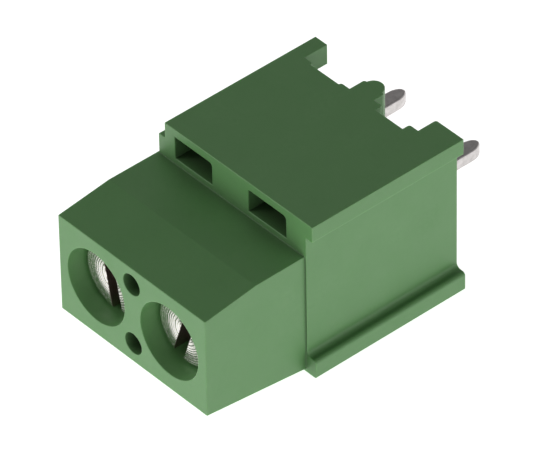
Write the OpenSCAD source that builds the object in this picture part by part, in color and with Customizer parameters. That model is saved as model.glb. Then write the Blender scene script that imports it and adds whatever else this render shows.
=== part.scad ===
// Two-pole PCB screw terminal block with rising clamps, lying on its wire-entry side.
// X runs along the poles, Y from the screw face towards the board, Z up from the rest plane.
// The origin is under the middle of the whole part, on the rest plane.

/* [Poles] */
// Distance between the two poles, and between their solder pins
pitch = 5.08; // [5:0.01:5.4]
// Height of the screw axes above the rest plane
axis_z = 3.77; // [3.6:0.01:3.85]

/* [Front block] */
// Length of the front block, from the screw face to the step
block_len = 6.02; // [5.6:0.01:6.6]
// Height of the block's level top above the rest plane
block_top = 6.92; // [6.8:0.01:7.1]
// Length of the sloping part of the top, behind the screw face
nose_len = 3.07; // [1:0.01:5]
// Fall of the sloping top down to the screw face
nose_drop = 0.4; // [0.1:0.01:0.6]
// Height of the screw face's lower edge above the rest plane
chin_rise = 0.91; // [0.3:0.01:1.2]
// Height of the block's underside above the rest plane, at the step
heel_rise = 0.18; // [0.05:0.01:0.25]
// Draft of each side, from the screw face back to the step
block_draft = 0.02; // [0.01:0.01:0.1]

/* [Rear body] */
// Height of the rear body
body_top = 8.96; // [8.9:0.01:9.4]
// Length of the rear body, from the step to its end face
body_len = 7.73; // [7.6:0.01:8.6]
// How far the right wall stands out from the block's side, at the step
shoulder = 0.11; // [0.05:0.01:0.2]

/* [Stacking rails] */
// Height of the upper rail
upper_rail_h = 0.88; // [0.5:0.01:1.2]
// How far the upper rail stands out from the right wall
upper_rail_out = 0.44; // [0.3:0.01:0.6]
// Height of the lower rail
lower_rail_h = 1.04; // [0.6:0.01:1.2]
// How far the lower rail stands out from the right wall
lower_rail_out = 0.58; // [0.5:0.01:0.65]
// Radius of the fillet between the lower rail and the right wall
rail_fillet_r = 0.26; // [0.1:0.01:0.3]
// Radius of the lower rail's upper outer edge, twice that of its lower one
rail_edge_r = 0.2; // [0.1:0.01:0.22]
// Gap between this block's rails and those of a neighbour
stack_gap = 0.02; // [0.01:0.01:0.06]

/* [Feet on the board side] */
// Height of the feet, which set the end face off the board
foot_h = 1.54; // [1:0.01:2]
// Width of the tab at the left of the top plate
tab_w = 0.82; // [0.5:0.01:1.2]
// Thickness of that tab
tab_t = 1.15; // [1:0.01:1.4]
// Width of the middle foot
mid_foot_w = 1.37; // [1.1:0.01:1.6]
// How far the middle foot lies right of the middle between the poles
mid_foot_x = 0.06; // [0:0.01:0.1]
// Diameter of the round post on the end of the middle foot
post_d = 1.06; // [0.8:0.01:1.1]
// How far the post stands out past the middle foot
post_out = 0.46; // [0.2:0.01:0.5]
// Thickness of the right wall where it runs down to the board
right_foot_w = 1.43; // [1:0.01:1.6]
// Width of each step beside a foot
foot_step_w = 0.58; // [0.3:0.01:0.65]
// Height of the steps in the right pocket above the end face
foot_step_h = 0.43; // [0.2:0.01:0.8]
// Height of the steps in the left pocket above the end face
low_step_h = 0.15; // [0.05:0.01:0.3]
// Radius of the upright edges of the feet and the steps
foot_edge_r = 0.14; // [0.05:0.01:0.2]

/* [Openings in the housing] */
// Diameter of the bore over each screw head
head_bore_d = 4; // [3.95:0.01:4.2]
// Depth of that bore, down to the seat of the screw head
head_bore_depth = 2.62; // [2.5:0.01:2.8]
// Diameter of the two small holes between the poles
small_hole_d = 1.16; // [0.8:0.01:1.3]
// Distance of each small hole above or below the screw axes
small_hole_off = 1.765; // [1.7:0.005:2]
// Depth of the small holes
small_hole_depth = 3; // [1:0.1:5]
// Width of the channel that runs back from the step at each pole
channel_w = 2.57; // [2.5:0.01:2.8]
// Height of that channel
channel_h = 1.26; // [1.1:0.01:1.3]
// Thickness of the top plate over the channels
roof_t = 0.45; // [0.4:0.01:0.6]
// Radius of the upper right corner of each channel
channel_corner_r = 0.2; // [0.1:0.01:0.3]
// Width of the mouth of each wire entry
mouth_w = 3.4; // [3:0.01:3.5]
// Length of that mouth, towards the board
mouth_len = 4; // [3.6:0.01:4.2]

/* [Clamping screws] */
// Diameter of the screw head
head_d = 3.75; // [3.6:0.01:3.8]
// Height of the screw head
head_h = 1.6; // [1.5:0.01:1.8]
// Chamfer round the top of the head
head_chamfer = 0.12; // [0.05:0.01:0.2]
// Width of the driver slot
slot_w = 0.7; // [0.5:0.01:0.9]
// Depth of the driver slot
slot_depth = 0.9; // [0.6:0.01:1.1]
// Diameter over the thread
thread_d = 3; // [2.9:0.01:3.05]
// Lead of the thread
thread_lead = 0.5; // [0.35:0.01:0.6]
// Clockwise lean of the left screw's slot from upright, seen from the screw face, at rest
slot_lean_left = -12; // [-90:1:90]
// Clockwise lean of the right screw's slot from upright, seen from the screw face, at rest
slot_lean_right = 18; // [-90:1:90]

/* [Clamp cages] */
// Clear height inside the cage, in the direction that it travels
window_h = 3.7; // [3.6:0.01:3.8]
// Thickness of the cage's side walls
cage_side_t = 0.42; // [0.35:0.01:0.5]
// Thickness of the threaded wall
cage_nut_t = 1.6; // [1.4:0.01:1.7]
// Thickness of the wall that lifts the wire
cage_floor_t = 0.8; // [0.6:0.01:0.9]
// Length of the cage along the wire
cage_len = 4.6; // [4.3:0.01:4.65]
// Outer corner radius of the cage
cage_corner_r = 0.5; // [0.3:0.01:0.6]
// Number of ridges that grip the wire
ridge_n = 5; // [3:1:7]
// Height of those ridges
ridge_h = 0.14; // [0.05:0.01:0.2]
// Number of screw turns between the open and the closed clamp
screw_turns = 5; // [3:0.5:5]

/* [Contact strips] */
// Thickness of the contact strip and its solder pin
strip_t = 0.68; // [0.6:0.01:0.72]
// Inner radius of the strip's bends
bend_r = 0.25; // [0.15:0.01:0.35]
// Height of the pin's centre above the rest plane
pin_z = 4.59; // [4.3:0.01:4.8]
// Width of the solder pin
pin_w = 0.834; // [0.7:0.002:0.9]
// Length of the solder pin beyond the feet
pin_len = 3.75; // [3:0.01:4.5]
// Length of the pin's rounded tip
pin_tip_len = 0.75; // [0.4:0.01:1]

/* [Clearances] */
// Gap between the head's underside and its seat
seat_gap = 0.02; // [0.01:0.01:0.04]
// Gap all round the shank, in the web and in the cage
shank_gap = 0.06; // [0.03:0.01:0.1]
// Gap between the thread and each side wall of the cage
window_gap = 0.08; // [0.07:0.01:0.12]
// Gap between the cage's sides and the chamber
cage_gap = 0.05; // [0.03:0.01:0.1]
// Gap between the cage's ends and the chamber
cage_end_gap = 0.1; // [0.05:0.01:0.15]
// Gap between the threaded wall and the bar with the clamp open
open_gap = 0.1; // [0.05:0.01:0.2]
// Gap between the threaded wall and the web with the clamp closed
closed_gap = 0.15; // [0.05:0.01:0.3]
// Gap between the screw's tip and the bar
tip_gap = 0.3; // [0.1:0.01:0.5]
// Gap between the cage and the strip that closes its chamber
floor_gap = 0.2; // [0.1:0.01:0.3]
// Depth of the strip's outer face inside the end face
strip_inset = 0.12; // [0.05:0.01:0.3]

/* [Hidden] */
$fn = 64;
over = 1;                                    // how far a cut runs past the face it opens
edge_facets = 24;                            // facets round a small edge
tab_root = 0.3;                              // how far the tab reaches back into the plate

// Housing, from side to side
face_half_w = pitch;
step_half_w = face_half_w - block_draft;
wall_x = step_half_w + shoulder;
upper_rail_x = wall_x + upper_rail_out;
lower_rail_x = wall_x + lower_rail_out;
plate_left_x = upper_rail_x - 2 * pitch + stack_gap;
tongue_x = wall_x - 2 * pitch + stack_gap;
rebate_x = lower_rail_x - 2 * pitch + stack_gap;

// Housing, upwards
upper_rail_z = body_top - upper_rail_h;
roof_z = body_top - roof_t;
channel_z = roof_z - channel_h;

// Housing, towards the board
end_y = block_len + body_len;
seat_y = end_y + foot_h;
post_y = seat_y - post_d / 2;
mid_foot_y = seat_y - post_out;
tip_y = seat_y + pin_len;

// Screw, cage and bar along the travel
head_under_y = head_bore_depth - seat_gap;
head_top_y = head_under_y - head_h;
leg_out_y = end_y - strip_inset;
leg_in_y = leg_out_y - strip_t;
cage_end_y = leg_in_y - floor_gap;
cage_start_y = cage_end_y - cage_floor_t - window_h - cage_nut_t;
bar_y = cage_start_y + cage_nut_t + open_gap;
window_end_y = cage_end_y - cage_floor_t;
web_y = cage_start_y - screw_turns * thread_lead - closed_gap;
shank_tip_y = bar_y - tip_gap;

// Chamber round the cage
window_w = thread_d + 2 * window_gap;
cage_w = window_w + 2 * cage_side_t;
chamber_w = cage_w + 2 * cage_gap;
chamber_low_z = axis_z - cage_len / 2 - cage_end_gap;
chamber_top_z = axis_z + cage_len / 2 + cage_end_gap;

// Whole part
part_mid_x = (lower_rail_x - face_half_w) / 2;
part_mid_y = tip_y / 2;

// Moves the working frame to the part's own frame.
module place() translate([-part_mid_x, -part_mid_y, 0]) children();

// Moves to the middle of a pole: -1 is the left one, 1 the right one.
module at_pole(side) translate([side * pitch / 2, 0, 0]) children();

// Extrudes a section drawn in Y and Z along X, centred.
module along_x(width) rotate([90, 0, 90]) linear_extrude(width, center = true) children();

// Extrudes a section drawn in X and Z from y0 to y1.
module along_y(y0, y1) translate([0, y1, 0]) rotate([90, 0, 0]) linear_extrude(y1 - y0) children();

// A box between two corners.
module box(low, high) translate(low) cube(high - low);

// Points of an arc from angle a0 to a1.
function arc(centre, r, a0, a1, steps = 8) =
    [for (i = [0:steps]) centre + r * [cos(a0 + (a1 - a0) * i / steps), sin(a0 + (a1 - a0) * i / steps)]];

// Side view of the front block: sloping nose, level top and rising underside.
module block_side() polygon([
    [0, chin_rise],
    [0, block_top - nose_drop],
    [nose_len, block_top],
    [block_len + over, block_top],
    [block_len + over, heel_rise],
    [block_len, heel_rise]]);

module front_block() intersection() {
    along_x(3 * pitch) block_side();
    linear_extrude(body_top) polygon([
        [-face_half_w, 0], [face_half_w, 0],
        [step_half_w, block_len], [step_half_w, block_len + over],
        [-step_half_w, block_len + over], [-step_half_w, block_len]]);
}

// End view of the rear body: rails on the right, the tongue that fits a neighbour's rails on the left.
module body_section() polygon(concat(
    [[rebate_x, 0]],
    arc([lower_rail_x - rail_edge_r / 2, rail_edge_r / 2], rail_edge_r / 2, -90, 0),
    arc([lower_rail_x - rail_edge_r, lower_rail_h - rail_edge_r], rail_edge_r, 0, 90),
    arc([wall_x + rail_fillet_r, lower_rail_h + rail_fillet_r], rail_fillet_r, 270, 180),
    [[wall_x, upper_rail_z], [upper_rail_x, upper_rail_z], [upper_rail_x, body_top],
     [plate_left_x, body_top], [plate_left_x, upper_rail_z - stack_gap],
     [tongue_x, upper_rail_z - stack_gap]],
    arc([tongue_x + rail_fillet_r, lower_rail_h + stack_gap + rail_fillet_r], rail_fillet_r, 180, 270),
    [[rebate_x, lower_rail_h + stack_gap]]));

// Plan of a foot or a step, from inside the end face out to height h.
module foot_plan(x0, x1, h) translate([x0, end_y - over]) square([x1 - x0, h + over]);

// Plan of everything that reaches past the end face over the whole height.
module feet_plan() {
    right_foot_x = wall_x - right_foot_w;
    mid_left_x = mid_foot_x - mid_foot_w / 2;
    mid_right_x = mid_foot_x + mid_foot_w / 2;
    tab_x = plate_left_x + tab_w;
    offset(r = foot_edge_r, $fn = edge_facets) offset(delta = -foot_edge_r) {
        foot_plan(right_foot_x, right_foot_x + pitch, foot_h);
        foot_plan(right_foot_x - foot_step_w, right_foot_x + over, foot_step_h);
        foot_plan(mid_left_x, mid_right_x, mid_foot_y - end_y);
        foot_plan(mid_foot_x, mid_right_x + foot_step_w, foot_step_h);
        foot_plan(mid_left_x - foot_step_w, mid_foot_x, low_step_h);
        foot_plan(plate_left_x - over, tab_x + foot_step_w, low_step_h);
    }
    translate([mid_foot_x, post_y]) circle(d = post_d);
}

module rear_body() {
    along_y(block_len, end_y) body_section();
    intersection() {
        along_y(end_y - over, seat_y) body_section();
        linear_extrude(body_top) feet_plan();
    }
}

// Tab that carries on from the plate's left side, past the channel's end.
module tab() box([plate_left_x, end_y - tab_root, body_top - tab_t], [plate_left_x + tab_w, seat_y, body_top]);

// Flared wire entry from the rest plane up into the chamber.
module wire_entry() {
    throat_y = [bar_y + strip_t, window_end_y];
    mouth_mid_y = (throat_y[0] + throat_y[1]) / 2;
    hull() {
        box([-window_w / 2, throat_y[0], 0], [window_w / 2, throat_y[1], chamber_low_z + over]);
        box([-mouth_w / 2, mouth_mid_y - mouth_len / 2, -over],
            [mouth_w / 2, mouth_mid_y + mouth_len / 2, 0]);
    }
}

// End view of a channel, with its upper right corner rounded.
module channel_section() polygon(concat(
    [[-channel_w / 2, roof_z], [-channel_w / 2, channel_z], [channel_w / 2, channel_z]],
    arc([channel_w / 2 - channel_corner_r, roof_z - channel_corner_r], channel_corner_r, 0, 90)));

// Everything that is cored out for one pole.
module pole_cavity() {
    along_y(-over, head_bore_depth) translate([0, axis_z]) circle(d = head_bore_d);
    along_y(0, web_y + over) translate([0, axis_z]) circle(d = thread_d + 2 * shank_gap);
    box([-chamber_w / 2, web_y, chamber_low_z], [chamber_w / 2, seat_y, chamber_top_z]);
    along_y(block_len - over, seat_y) channel_section();
    box([-channel_w / 2, bar_y, chamber_top_z - over], [channel_w / 2, seat_y, channel_z + over]);
    wire_entry();
}

module housing() color([0.28, 0.47, 0.27]) place() {
    difference() {
        union() {
            front_block();
            rear_body();
        }
        for (side = [-1, 1]) {
            at_pole(side) pole_cavity();
            along_y(-over, small_hole_depth) translate([0, axis_z + side * small_hole_off])
                circle(d = small_hole_d);
        }
    }
    tab();
}

// Outline of the bent strip from the bar to the root of the pin, drawn in Y and Z.
module strip_side() {
    outer_r = bend_r + strip_t;
    bar_low_z = chamber_low_z + cage_end_gap;
    polygon(concat(
        [[bar_y, bar_low_z]],
        arc([bar_y + outer_r, roof_z - outer_r], outer_r, 180, 90),
        arc([leg_out_y - outer_r, roof_z - outer_r], outer_r, 90, 0),
        [[leg_out_y, chamber_top_z - strip_t], [leg_in_y, chamber_top_z - strip_t]],
        arc([leg_in_y - bend_r, roof_z - outer_r], bend_r, 0, 90),
        arc([bar_y + outer_r, roof_z - outer_r], bend_r, 90, 180),
        [[bar_y + strip_t, bar_low_z]]));
}

// Outline of the pin and the narrow part of the leg that it is bent from.
module pin_side() {
    outer_r = bend_r + strip_t;
    polygon(concat(
        [[leg_in_y, chamber_top_z]],
        arc([leg_in_y + outer_r, pin_z - strip_t / 2 + outer_r], outer_r, 180, 270),
        [[tip_y, pin_z - strip_t / 2], [tip_y, pin_z + strip_t / 2]],
        arc([leg_in_y + outer_r, pin_z - strip_t / 2 + outer_r], bend_r, 270, 180),
        [[leg_out_y, chamber_top_z]]));
}

// Plan of the pin, with a tip rounded as half an ellipse.
module pin_plan() polygon(concat(
    [[-pin_w / 2, 0], [pin_w / 2, 0]],
    [for (a = [0:7.5:180]) [pin_w / 2 * cos(a), tip_y - pin_tip_len + pin_tip_len * sin(a)]]));

// The strip is as wide as the flat part of the channel's roof.
module contact(side) color([0.78, 0.76, 0.75]) place() at_pole(side) {
    along_x(channel_w - 2 * channel_corner_r) strip_side();
    intersection() {
        along_x(pin_w) pin_side();
        linear_extrude(body_top) pin_plan();
    }
}

// A rectangle centred in X with round corners, standing on y = 0.
module round_rect(size, r) {
    translate([-size[0] / 2 + r, 0]) square([size[0] - 2 * r, size[1]]);
    translate([-size[0] / 2, r]) square([size[0], size[1] - 2 * r]);
    for (x = [-1, 1] * (size[0] / 2 - r), y = [r, size[1] - r]) translate([x, y]) circle(r);
}

// Gripping ridges across the wire, on the inside of the cage's lifting wall.
module ridges() {
    step = cage_len / ridge_n;
    for (i = [0:ridge_n - 1])
        along_x(window_w) polygon([
            [window_end_y + ridge_h, axis_z - cage_len / 2 + i * step],
            [window_end_y - ridge_h, axis_z - cage_len / 2 + (i + 0.5) * step],
            [window_end_y + ridge_h, axis_z - cage_len / 2 + (i + 1) * step]]);
}

module clamp_cage(side) color([0.8, 0.72, 0.5]) place() at_pole(side) {
    inner_r = cage_corner_r / 2;
    difference() {
        translate([0, cage_start_y, axis_z - cage_len / 2]) linear_extrude(cage_len)
            round_rect([cage_w, cage_end_y - cage_start_y], cage_corner_r);
        translate([0, cage_start_y + cage_nut_t, 0]) linear_extrude(body_top)
            round_rect([window_w, window_h], inner_r);
        along_y(0, bar_y) translate([0, axis_z]) circle(d = thread_d + 2 * shank_gap);
    }
    ridges();
}

// Slotted cheese-head screw standing along +Y, with its slot upright at lean 0.
module clamp_screw(side, lean) color([0.75, 0.74, 0.72]) place() at_pole(side)
    translate([0, 0, axis_z]) rotate([-90, 0, 0]) rotate(lean) difference() {
        rotate_extrude() polygon([
            [0, head_top_y],
            [head_d / 2 - head_chamfer, head_top_y],
            [head_d / 2, head_top_y + head_chamfer],
            [head_d / 2, head_under_y],
            [thread_d / 2, head_under_y],
            [thread_d / 2, shank_tip_y - thread_lead],
            [thread_d / 2 - thread_lead, shank_tip_y],
            [0, shank_tip_y]]);
        translate([-slot_w / 2, -head_d, head_top_y - over])
            cube([slot_w, 2 * head_d, slot_depth + over]);
    }

housing();
contact(-1);  // contact_1
contact(1);  // contact_2
clamp_cage(-1);  // clamp_cage_1
clamp_cage(1);  // clamp_cage_2
clamp_screw(-1, slot_lean_left);  // clamp_screw_1
clamp_screw(1, slot_lean_right);  // clamp_screw_2
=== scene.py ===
import math

import bmesh
import bpy
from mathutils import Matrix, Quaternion, Vector


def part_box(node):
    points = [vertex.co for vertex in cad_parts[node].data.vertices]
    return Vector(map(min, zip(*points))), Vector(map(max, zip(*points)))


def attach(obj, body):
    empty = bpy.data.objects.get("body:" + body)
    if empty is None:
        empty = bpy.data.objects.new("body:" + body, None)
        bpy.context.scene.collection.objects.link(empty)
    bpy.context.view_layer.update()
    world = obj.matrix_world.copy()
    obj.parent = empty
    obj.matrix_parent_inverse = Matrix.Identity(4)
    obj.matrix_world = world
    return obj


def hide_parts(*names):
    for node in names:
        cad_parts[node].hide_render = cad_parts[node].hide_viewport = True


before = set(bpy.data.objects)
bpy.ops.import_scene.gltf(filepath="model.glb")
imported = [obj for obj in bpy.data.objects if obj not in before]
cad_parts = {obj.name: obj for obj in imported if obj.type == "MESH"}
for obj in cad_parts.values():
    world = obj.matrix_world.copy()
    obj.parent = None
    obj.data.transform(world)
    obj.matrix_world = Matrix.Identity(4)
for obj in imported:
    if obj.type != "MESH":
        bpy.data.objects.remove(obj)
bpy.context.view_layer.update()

MM = 0.001

# Camera: where it aims, how far off it stands and how it is turned
AIM = Vector((0, -1.44, 4.67)) * MM
CAMERA_DISTANCE = 354.3 * MM
CAMERA_AZIMUTH = math.radians(49.15)
CAMERA_ELEVATION = math.radians(40.31)
CAMERA_ROLL = math.radians(1.08)
CAMERA_LENS = 514.9
SENSOR_WIDTH = 36
CLIP_START = 0.05
CLIP_END = 5

# Light: a pale table, a sky that dims with height, and one soft lamp
FLOOR_RADIUS = 3.0
FLOOR_SIDES = 96
FLOOR_GREY = (0.80, 0.80, 0.80, 1)
FLOOR_GLOW = 0.92
WHITE = (1, 1, 1, 1)
SKY_HEIGHTS = (0.18, 0.50)
SKY_LEVELS = (0.90, 0.16)
KEY_AZIMUTH = math.radians(-41)
KEY_ELEVATION = math.radians(30)
KEY_DISTANCE = 0.6
KEY_SIZE = 0.16
KEY_RADIANCE = 8.0

# Edge roundings on the pieces that keep their solid from the frame
HOUSING_EDGE = 0.02 * MM
CONTACT_EDGE = 0.10 * MM
CAGE_EDGE = 0.04 * MM
EDGE_SEGMENTS = 3
WELD_DISTANCE = 0.0215 * MM
FLAT_ANGLE = math.radians(1)
SHARP_ANGLE = math.radians(30)

# Plastic: two cloud tones, the speck between them, the painted shade of hollows and the painted highlight
# of outer edges
PLASTIC_TONES = ((0.114, 0.284, 0.094), (0.132, 0.308, 0.110))
PLASTIC_SPECK = (0.122, 0.296, 0.102)
PLASTIC_PAINTED_SHADE = (0.030, 0.060, 0.022)
PLASTIC_PAINTED_HIGHLIGHT = (0.27, 0.50, 0.22)
CLOUD_SIZE = 2.6 * MM
SPECK_SIZE = 0.22 * MM
FLOW_SIZE = 0.9 * MM
WAVE_SIZE = 1.9 * MM
WAVE_DEPTH = 0.012 * MM
GRAIN_SIZE = 0.055 * MM
GRAIN_DEPTH = 0.0035 * MM
CAVITY_REACH = 2.5 * MM
EDGE_REACH = 0.08 * MM
MASK_SAMPLES = 8

# Metals: the two tones between which each one varies, and the width of its tool marks
TIN_TONES = ((0.56, 0.53, 0.52), (0.70, 0.665, 0.66))
NICKEL_TONES = ((0.66, 0.58, 0.42), (0.78, 0.72, 0.58))
ZINC_TONES = ((0.80, 0.77, 0.72), (0.93, 0.91, 0.87))
SAWN_TONES = ((0.20, 0.15, 0.13), (0.42, 0.35, 0.31))
SAWN_ROUGHNESS = 0.42
TURNING_MARK = 0.045 * MM
SAW_MARK = 0.04 * MM
SAW_MARK_LENGTH = 2 * MM

# Clamping screws: how their slots lie (degrees, and metres off the axis), heads, tool rings and threads
SLOT_LEANS = {"clamp_screw_1": -12, "clamp_screw_2": 18}
SLOT_SHIFTS = {"clamp_screw_1": -0.12 * MM, "clamp_screw_2": 0}
SCREW_SIDES = 128
HEAD_HEIGHT = 1.6 * MM
HEAD_CHAMFER = 0.12 * MM
HEAD_BACK_CHAMFER = 0.3 * HEAD_CHAMFER
HEAD_CORNER = ((0.55, 0.30), (0.15, 0.70), (0, 1.15))
RING_PITCH = 0.14 * MM
RING_DEPTH = 0.030 * MM
RING_STEPS = 8
RING_RISE = 0.3
RING_WOBBLES = ((0.22, 0.19 * MM), (0.12, 0.083 * MM))
RING_UNEVEN = 0.25
RING_UNEVEN_WAVE = 0.27 * MM
SLOT_WIDTH = 0.70 * MM
SLOT_DEPTH = 0.90 * MM
SLOT_BURR = 0.025 * MM
CUTTER_REACH = 1.5
THREAD_RADIUS = 1.5 * MM
THREAD_DEPTH = 0.27 * MM
THREAD_LEAD = 0.5 * MM
THREAD_STEPS = 8
THREAD_CREST_SHARE = 0.125
TIP_CHAMFER = 0.45 * MM
NECK_SLOPE = 0.8
MERGE_DISTANCE = 0.0008 * MM
SHORTEST_EDGE = 0.0004 * MM
SMOOTH_ANGLE = math.radians(35)


def make_node(tree, kind, inputs=(), **settings):
    """Adds a node, sets its properties and then its inputs, given as {socket: value or other socket}."""
    node = tree.nodes.new(kind)
    for name, value in settings.items():
        setattr(node, name, value)
    for name, value in dict(inputs).items():
        if isinstance(value, bpy.types.NodeSocket):
            tree.links.new(value, node.inputs[name])
        else:
            node.inputs[name].default_value = value
    return node


def new_material(name):
    """An empty material with its output node; gives (material, tree, output)."""
    material = bpy.data.materials.new(name)
    material.use_nodes = True
    tree = material.node_tree
    tree.nodes.clear()
    return material, tree, make_node(tree, "ShaderNodeOutputMaterial")


def noise(tree, size, detail=2.0, roughness=0.5):
    """Noise from 0 to 1 whose blotches are about size metres across, fixed to the piece."""
    place = make_node(tree, "ShaderNodeTexCoord").outputs["Object"]
    inputs = {"Vector": place, "Scale": 1 / size, "Detail": detail, "Roughness": roughness}
    return make_node(tree, "ShaderNodeTexNoise", inputs).outputs["Fac"]


def remap(tree, value, source, target=(0, 1)):
    """Maps one range of value to another, clamped."""
    inputs = {
        "Value": value, "From Min": source[0], "From Max": source[1],
        "To Min": target[0], "To Max": target[1],
    }
    return make_node(tree, "ShaderNodeMapRange", inputs).outputs["Result"]


def mix_colours(tree, share, first, second):
    """Mixes two colours by share."""
    node = make_node(tree, "ShaderNodeMix", data_type="RGBA")
    tree.links.new(share, node.inputs["Factor"])
    for socket, value in ((node.inputs[6], first), (node.inputs[7], second)):
        if isinstance(value, bpy.types.NodeSocket):
            tree.links.new(value, socket)
        else:
            socket.default_value = (*value, 1)
    return node.outputs[2]


def bump(tree, height, depth, strength=1.0, normal=None):
    """Bump whose height runs from 0 to depth metres."""
    inputs = {"Height": height, "Distance": depth, "Strength": strength}
    if normal is not None:
        inputs["Normal"] = normal
    return make_node(tree, "ShaderNodeBump", inputs).outputs["Normal"]


def openness(tree, reach):
    """How open a point lies, from 0 deep in a corner to 1 on a free face."""
    inputs = {"Distance": reach}
    node = make_node(tree, "ShaderNodeAmbientOcclusion", inputs, samples=MASK_SAMPLES, only_local=True)
    return node.outputs["AO"]


def painted_highlight_share(tree, soft_normal, opened):
    """How far a point lies on an outer edge, from 0 on a face to 1 on the edge itself; it sets where a
    highlight is painted.
    """
    true_normal = make_node(tree, "ShaderNodeNewGeometry").outputs["True Normal"]
    along = make_node(
        tree, "ShaderNodeVectorMath", {0: soft_normal, 1: true_normal}, operation="DOT_PRODUCT"
    ).outputs["Value"]
    turned = remap(tree, along, (0.98, 0.85))
    outer = remap(tree, opened, (0.80, 0.95))
    return make_node(tree, "ShaderNodeMath", {0: turned, 1: outer}, operation="MULTIPLY").outputs["Value"]


def green_plastic():
    """Moulded green polyamide: satin, faintly cloudy, with a fine spark-eroded grain, painted shade in its
    hollows and a painted highlight along its outer edges.
    """
    material, tree, output = new_material("green_polyamide")
    cloud = remap(tree, noise(tree, CLOUD_SIZE, 3), (0.3, 0.7))
    speck = remap(tree, noise(tree, SPECK_SIZE, 2), (0.35, 0.65))
    opened = openness(tree, CAVITY_REACH)
    soft_edges = make_node(tree, "ShaderNodeBevel", {"Radius": EDGE_REACH}, samples=MASK_SAMPLES)
    rounded = soft_edges.outputs["Normal"]
    base = mix_colours(tree, cloud, *PLASTIC_TONES)
    flow = remap(tree, noise(tree, FLOW_SIZE, 4, 0.6), (0.3, 0.7), (0.40, 0.50))
    grain = bump(tree, noise(tree, GRAIN_SIZE, 2, 0.6), GRAIN_DEPTH, normal=rounded)
    waves = bump(tree, noise(tree, WAVE_SIZE, 1), WAVE_DEPTH, normal=grain)
    speckled = mix_colours(tree, speck, base, PLASTIC_SPECK)
    # Painted shade: the colour darkens towards a near-black green where the point lies deep in a corner or
    # recess
    painted_shade_share = remap(tree, opened, (0.20, 0.78), (1, 0))
    deep = mix_colours(tree, painted_shade_share, speckled, PLASTIC_PAINTED_SHADE)
    # Painted highlight: outer edges are lightened towards a pale green, standing in for light caught by the
    # rounded edges
    shade = mix_colours(tree, painted_highlight_share(tree, rounded, opened), deep, PLASTIC_PAINTED_HIGHLIGHT)
    shader = make_node(tree, "ShaderNodeBsdfPrincipled", {
        "Base Color": shade, "Roughness": flow, "IOR": 1.53, "Normal": waves,
        "Subsurface Weight": 0.12, "Subsurface Radius": (0.15, 0.45, 0.10), "Subsurface Scale": MM,
    })
    tree.links.new(shader.outputs["BSDF"], output.inputs["Surface"])
    return material


def finish_metal(tree, output, base, roughness, relief):
    """Joins a bare metal's colour, roughness and relief to the material's output."""
    shader = make_node(tree, "ShaderNodeBsdfPrincipled", {
        "Base Color": base, "Metallic": 1.0, "Roughness": roughness, "Normal": relief,
    })
    tree.links.new(shader.outputs["BSDF"], output.inputs["Surface"])


def tin():
    """Dull hot-dipped tin with a mottled, slightly pitted surface."""
    material, tree, output = new_material("dull_tin")
    mottle = remap(tree, noise(tree, 0.30 * MM, 4, 0.65), (0.35, 0.65))
    base = mix_colours(tree, mottle, *TIN_TONES)
    dull = remap(tree, noise(tree, 0.16 * MM, 3, 0.6), (0.3, 0.7), (0.30, 0.50))
    pits = bump(tree, noise(tree, 0.12 * MM, 3, 0.6), 0.006 * MM)
    finish_metal(tree, output, base, dull, pits)
    return material


def nickel():
    """Nickel-plated brass of the clamp cages, warm and lightly tumbled."""
    material, tree, output = new_material("nickel_brass")
    tone = remap(tree, noise(tree, 0.8 * MM, 3), (0.3, 0.7))
    base = mix_colours(tree, tone, *NICKEL_TONES)
    dull = remap(tree, noise(tree, 0.10 * MM, 3, 0.6), (0.3, 0.7), (0.24, 0.38))
    dents = bump(tree, noise(tree, 0.18 * MM, 2), 0.004 * MM)
    finish_metal(tree, output, base, dull, dents)
    return material


def axis_distance(tree):
    """Distance of a point from the piece's own Y axis, in metres."""
    place = make_node(tree, "ShaderNodeTexCoord").outputs["Object"]
    flat = make_node(tree, "ShaderNodeVectorMath", {0: place, 1: (1, 0, 1)}, operation="MULTIPLY")
    return make_node(
        tree, "ShaderNodeVectorMath", {0: flat.outputs["Vector"]}, operation="LENGTH"
    ).outputs["Value"]


def turned_zinc():
    """Bright zinc on turned steel: fine tool rings round the axis, slightly uneven."""
    material, tree, output = new_material("turned_zinc")
    distance = axis_distance(tree)
    turns = make_node(tree, "ShaderNodeMath", {0: distance, 1: 1 / TURNING_MARK}, operation="MULTIPLY")
    rings = make_node(
        tree, "ShaderNodeTexNoise",
        {"W": turns.outputs["Value"], "Scale": 1.0, "Detail": 2.0, "Roughness": 0.7},
        noise_dimensions="1D",
    ).outputs["Fac"]
    tone = remap(tree, rings, (0.3, 0.7))
    base = mix_colours(tree, tone, *ZINC_TONES)
    dull = remap(tree, noise(tree, 0.20 * MM, 3, 0.6), (0.3, 0.7), (0.16, 0.30))
    fine = bump(tree, rings, 0.004 * MM)
    finish_metal(tree, output, base, dull, fine)
    return material


def sawn_metal():
    """Inside of the driver slot: rougher, browner, with marks along the saw's travel."""
    material, tree, output = new_material("sawn_slot")
    place = make_node(tree, "ShaderNodeTexCoord").outputs["Object"]
    scales = (1 / SAW_MARK, 1 / SAW_MARK, 1 / SAW_MARK_LENGTH)
    along = make_node(
        tree, "ShaderNodeVectorMath", {0: place, 1: scales}, operation="MULTIPLY"
    ).outputs["Vector"]
    marks = make_node(tree, "ShaderNodeTexNoise", {"Vector": along, "Scale": 1.0, "Detail": 2.0})
    base = mix_colours(tree, marks.outputs["Fac"], *SAWN_TONES)
    rough = bump(tree, marks.outputs["Fac"], 0.006 * MM)
    finish_metal(tree, output, base, SAWN_ROUGHNESS, rough)
    return material


def add_modifier(piece, kind, **settings):
    """Adds a modifier and sets its properties."""
    modifier = piece.modifiers.new(kind.lower(), kind)
    for name, value in settings.items():
        setattr(modifier, name, value)
    return modifier


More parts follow.
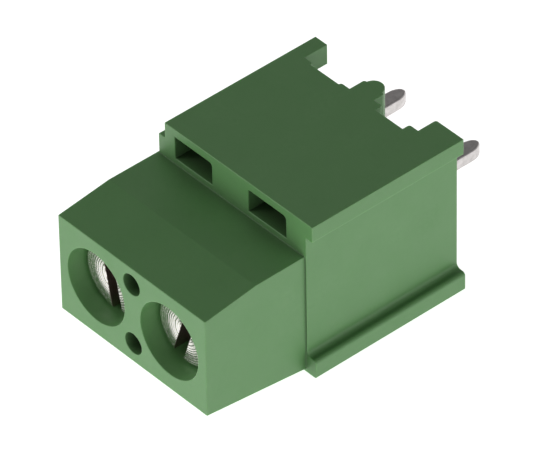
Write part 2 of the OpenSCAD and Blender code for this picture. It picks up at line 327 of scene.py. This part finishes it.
def edge_chooser():
    """Geometry nodes that mark a solid's outer sharp edges; inner corners stay as the mould leaves them."""
    tree = bpy.data.node_groups.new("edge_chooser", "GeometryNodeTree")
    for way in ("INPUT", "OUTPUT"):
        tree.interface.new_socket("Geometry", in_out=way, socket_type="NodeSocketGeometry")
    entry = make_node(tree, "NodeGroupInput")
    angle = make_node(tree, "GeometryNodeInputMeshEdgeAngle").outputs["Signed Angle"]
    outer = make_node(tree, "FunctionNodeCompare", {0: angle, 1: SHARP_ANGLE}, operation="GREATER_THAN")
    inner = make_node(tree, "FunctionNodeCompare", {0: angle, 1: -SHARP_ANGLE}, operation="LESS_THAN")
    rounded = make_node(tree, "GeometryNodeStoreNamedAttribute", {
        "Geometry": entry.outputs["Geometry"], "Name": "bevel_weight_edge",
        "Value": outer.outputs["Result"],
    }, data_type="FLOAT", domain="EDGE")
    creased = make_node(tree, "GeometryNodeStoreNamedAttribute", {
        "Geometry": rounded.outputs["Geometry"], "Name": "sharp_edge",
        "Value": inner.outputs["Result"],
    }, data_type="BOOLEAN", domain="EDGE")
    make_node(tree, "NodeGroupOutput", {"Geometry": creased.outputs["Geometry"]})
    return tree


def dress(node, material, edge, chooser):
    """Gives a solid from the frame its finish and rounds its sharp edges."""
    for material_slot in node.material_slots:
        material_slot.link = "OBJECT"
        material_slot.material = material
    add_modifier(node, "WELD", merge_threshold=WELD_DISTANCE)
    add_modifier(node, "DECIMATE", decimate_type="DISSOLVE", angle_limit=FLAT_ANGLE)
    add_modifier(node, "NODES", node_group=chooser)
    add_modifier(
        node, "BEVEL", width=edge, segments=EDGE_SEGMENTS, limit_method="WEIGHT",
        use_clamp_overlap=False, miter_outer="MITER_ARC",
    )
    add_modifier(node, "WEIGHTED_NORMAL", mode="FACE_AREA", weight=50, keep_sharp=True)


def ring(mesh, radius, y):
    """A circle of vertices round the Y axis, or a single one where the radius is nothing."""
    if radius == 0:
        return [mesh.verts.new((0, y, 0))] * SCREW_SIDES
    turns = [2 * math.pi * i / SCREW_SIDES for i in range(SCREW_SIDES)]
    return [mesh.verts.new((radius * math.sin(t), y, radius * math.cos(t))) for t in turns]


def join_rings(mesh, first, second, shift=None):
    """Fills the band between two circles. With a shift, the band climbs on into that circle at the seam."""
    for i in range(SCREW_SIDES):
        if i + 1 < SCREW_SIDES:
            corners = [first[i], first[i + 1], second[i + 1], second[i]]
        else:
            seam = shift or (first, second)
            corners = [first[i], seam[0][0], seam[1][0], second[i]]
        corners = list(dict.fromkeys(corners))
        if len(corners) > 2:
            mesh.faces.new(corners)


def turned_face(radius):
    """Profile of the head's end face, from the centre out: shallow tool rings of uneven width."""
    points = []
    count = round(radius / RING_PITCH * RING_STEPS)
    for i in range(count + 1):
        r = radius * i / count
        phase = r / RING_PITCH
        for amount, wave in RING_WOBBLES:
            phase += amount * math.sin(r / wave)
        deep = RING_DEPTH * (1 - RING_UNEVEN + RING_UNEVEN * math.sin(r / RING_UNEVEN_WAVE))
        share = phase % 1
        lift = share / RING_RISE if share < RING_RISE else (1 - share) / (1 - RING_RISE)
        points.append((r, deep * lift))
    return points


def thread_radius(step, y, length):
    """Radius of the thread at a step of its turn, run out into the neck and the tip."""
    share = step / THREAD_STEPS
    ramp = abs(2 * share - 1)
    depth = THREAD_DEPTH * min(1, max(0, (ramp - THREAD_CREST_SHARE) / (1 - 2 * THREAD_CREST_SHARE)))
    root = THREAD_RADIUS - THREAD_DEPTH
    tip = THREAD_RADIUS - TIP_CHAMFER + (length - y)
    neck = root + max(0, y - HEAD_HEIGHT) * NECK_SLOPE
    return min(THREAD_RADIUS - depth, max(tip, root - TIP_CHAMFER), max(neck, root))


def thread_rows(mesh, length):
    """Rows of vertices that follow the helix from the head's underside to the tip."""
    rows = []
    turns = math.ceil((length - HEAD_HEIGHT) / THREAD_LEAD) + 2
    for j in range(turns * THREAD_STEPS + 1):
        row = []
        for i in range(SCREW_SIDES):
            climb = j / THREAD_STEPS + i / SCREW_SIDES - 1
            y = min(length, max(HEAD_HEIGHT, HEAD_HEIGHT + climb * THREAD_LEAD))
            radius = thread_radius(j % THREAD_STEPS, y, length)
            if y == HEAD_HEIGHT:
                radius = THREAD_RADIUS - THREAD_DEPTH
            if y == length:
                radius = THREAD_RADIUS - TIP_CHAMFER
            turn = 2 * math.pi * i / SCREW_SIDES
            row.append(mesh.verts.new((radius * math.sin(turn), y, radius * math.cos(turn))))
        rows.append(row)
    return rows


def turned_blank(name, head_radius, length):
    """The screw before its slot is sawn: head, neck and real helical thread, closed at both ends."""
    mesh = bmesh.new()
    profile = turned_face(head_radius - HEAD_CHAMFER)
    profile += [(head_radius - inward * HEAD_CHAMFER, down * HEAD_CHAMFER) for inward, down in HEAD_CORNER]
    profile += [
        (head_radius, HEAD_HEIGHT - HEAD_BACK_CHAMFER),
        (head_radius - HEAD_BACK_CHAMFER, HEAD_HEIGHT),
        (THREAD_RADIUS - THREAD_DEPTH, HEAD_HEIGHT),
    ]
    rings = [ring(mesh, r, y) for r, y in profile]
    for first, second in zip(rings, rings[1:]):
        join_rings(mesh, first, second)
    rows = thread_rows(mesh, length)
    for j in range(len(rows) - 1):
        if j + 1 + THREAD_STEPS < len(rows):
            join_rings(mesh, rows[j], rows[j + 1], (rows[j + THREAD_STEPS], rows[j + 1 + THREAD_STEPS]))
        else:
            join_rings(mesh, rows[j], rows[j + 1])
    join_rings(mesh, rows[-1], ring(mesh, 0, length))
    bmesh.ops.remove_doubles(mesh, verts=mesh.verts, dist=MERGE_DISTANCE)
    bmesh.ops.dissolve_degenerate(mesh, edges=mesh.edges, dist=SHORTEST_EDGE)
    bmesh.ops.recalc_face_normals(mesh, faces=mesh.faces)
    data = bpy.data.meshes.new(name)
    mesh.to_mesh(data)
    mesh.free()
    return data


def slot_cutter(reach, shift):
    """The saw's path through the head, with a small flare where the edges are burred."""
    half = SLOT_WIDTH / 2
    outline = [
        (-half - 2 * SLOT_BURR, -SLOT_BURR), (half + 2 * SLOT_BURR, -SLOT_BURR),
        (half, SLOT_BURR), (half, SLOT_DEPTH - SLOT_BURR), (half - SLOT_BURR, SLOT_DEPTH),
        (-half + SLOT_BURR, SLOT_DEPTH), (-half, SLOT_DEPTH - SLOT_BURR), (-half, SLOT_BURR),
    ]
    mesh = bmesh.new()
    low = [mesh.verts.new((x + shift, y, -reach)) for x, y in outline]
    high = [mesh.verts.new((x + shift, y, reach)) for x, y in outline]
    for i in range(len(outline)):
        k = (i + 1) % len(outline)
        mesh.faces.new([low[i], low[k], high[k], high[i]])
    mesh.faces.new(low)
    mesh.faces.new(high)
    bmesh.ops.recalc_face_normals(mesh, faces=mesh.faces)
    data = bpy.data.meshes.new("slot_cutter")
    mesh.to_mesh(data)
    mesh.free()
    return data


def apply_modifiers(piece):
    """Keeps the piece's shape as its modifiers leave it."""
    bpy.context.view_layer.update()
    graph = bpy.context.evaluated_depsgraph_get()
    done = bpy.data.meshes.new_from_object(piece.evaluated_get(graph))
    piece.modifiers.clear()
    piece.data = done


def clamp_screw(node, body, metal, sawn):
    """A slotted screw in place of the plain one, standing on the same axis."""
    low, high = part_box(node)
    middle = (low + high) / 2
    head_radius = (high.x - low.x) / 2
    blank = turned_blank(node, head_radius, high.y - low.y)
    saw_path = slot_cutter(CUTTER_REACH * head_radius, SLOT_SHIFTS[node])
    screw = bpy.data.objects.new(node.replace("clamp_", "turned_"), blank)
    cutter = bpy.data.objects.new("slot_cutter", saw_path)
    for piece, material in ((screw, metal), (cutter, sawn)):
        bpy.context.scene.collection.objects.link(piece)
        piece.data.materials.append(material)
    add_modifier(
        screw, "BOOLEAN", object=cutter, operation="DIFFERENCE", solver="EXACT",
        material_mode="TRANSFER",
    )
    apply_modifiers(screw)
    bpy.data.objects.remove(cutter)
    screw.data.shade_smooth()
    screw.data.set_sharp_from_angle(angle=SMOOTH_ANGLE)
    screw.location = (middle.x, low.y, middle.z)
    screw.rotation_euler = (0, math.radians(SLOT_LEANS[node]), 0)
    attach(screw, body)
    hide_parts(node)


def white_floor():
    """Pale table top that bounces light onto the upright faces, and stays bright by itself."""
    mesh = bmesh.new()
    bmesh.ops.create_circle(mesh, cap_ends=True, segments=FLOOR_SIDES, radius=FLOOR_RADIUS)
    data = bpy.data.meshes.new("floor")
    mesh.to_mesh(data)
    mesh.free()
    floor = bpy.data.objects.new("floor", data)
    bpy.context.scene.collection.objects.link(floor)
    material, tree, output = new_material("pale_table")
    paper = make_node(tree, "ShaderNodeBsdfPrincipled", {
        "Base Color": FLOOR_GREY, "Roughness": 0.9, "Specular IOR Level": 0.0,
        "Emission Color": WHITE, "Emission Strength": FLOOR_GLOW,
    })
    tree.links.new(paper.outputs["BSDF"], output.inputs["Surface"])
    data.materials.append(material)


def studio_sky():
    """World light: pale near the horizon, dim higher up."""
    world = bpy.data.worlds.new("studio")
    bpy.context.scene.world = world
    world.use_nodes = True
    tree = world.node_tree
    tree.nodes.clear()
    place = make_node(tree, "ShaderNodeTexCoord").outputs["Generated"]
    height = make_node(tree, "ShaderNodeSeparateXYZ", {"Vector": place}).outputs["Z"]
    level = remap(tree, height, SKY_HEIGHTS, SKY_LEVELS)
    sky = make_node(tree, "ShaderNodeBackground", {"Color": WHITE, "Strength": level})
    output = make_node(tree, "ShaderNodeOutputWorld")
    tree.links.new(sky.outputs["Background"], output.inputs["Surface"])


def softbox(name, azimuth, elevation, distance, width, height, radiance):
    """A soft lamp towards that azimuth and elevation, aimed at the part."""
    lamp = bpy.data.lights.new(name, "AREA")
    lamp.shape = "RECTANGLE"
    lamp.size, lamp.size_y = width, height
    lamp.energy = radiance * math.pi * width * height
    holder = bpy.data.objects.new(name, lamp)
    bpy.context.scene.collection.objects.link(holder)
    back = direction(azimuth, elevation)
    holder.location = AIM + back * distance
    holder.rotation_mode = "QUATERNION"
    holder.rotation_quaternion = (-back).to_track_quat("-Z", "Y")


def direction(azimuth, elevation):
    """Unit vector from the part towards a viewer at that azimuth and elevation."""
    return Vector((
        math.sin(azimuth) * math.cos(elevation),
        -math.cos(azimuth) * math.cos(elevation),
        math.sin(elevation),
    ))


def photo_camera():
    """The camera, at the photograph's viewing angle."""
    data = bpy.data.cameras.new("camera")
    data.lens = CAMERA_LENS
    data.sensor_width = SENSOR_WIDTH
    data.clip_start = CLIP_START
    data.clip_end = CLIP_END
    camera = bpy.data.objects.new("camera", data)
    bpy.context.scene.collection.objects.link(camera)
    back = direction(CAMERA_AZIMUTH, CAMERA_ELEVATION)
    camera.location = AIM + back * CAMERA_DISTANCE
    camera.rotation_mode = "QUATERNION"
    level = (-back).to_track_quat("-Z", "Y")
    camera.rotation_quaternion = level @ Quaternion((0, 0, 1), -CAMERA_ROLL)
    bpy.context.scene.camera = camera


photo_camera()
bpy.context.scene.view_settings.view_transform = "Standard"
white_floor()
studio_sky()
softbox("key", KEY_AZIMUTH, KEY_ELEVATION, KEY_DISTANCE, KEY_SIZE, KEY_SIZE, KEY_RADIANCE)

plastic = green_plastic()
tinned = tin()
plated = nickel()
zinc = turned_zinc()
sawn = sawn_metal()
chooser = edge_chooser()
dress(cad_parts["housing"], plastic, HOUSING_EDGE, chooser)
for pole in (1, 2):
    dress(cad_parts[f"contact_{pole}"], tinned, CONTACT_EDGE, chooser)
    dress(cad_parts[f"clamp_cage_{pole}"], plated, CAGE_EDGE, chooser)
    clamp_screw(f"clamp_screw_{pole}", f"screw_{pole}", zinc, sawn)
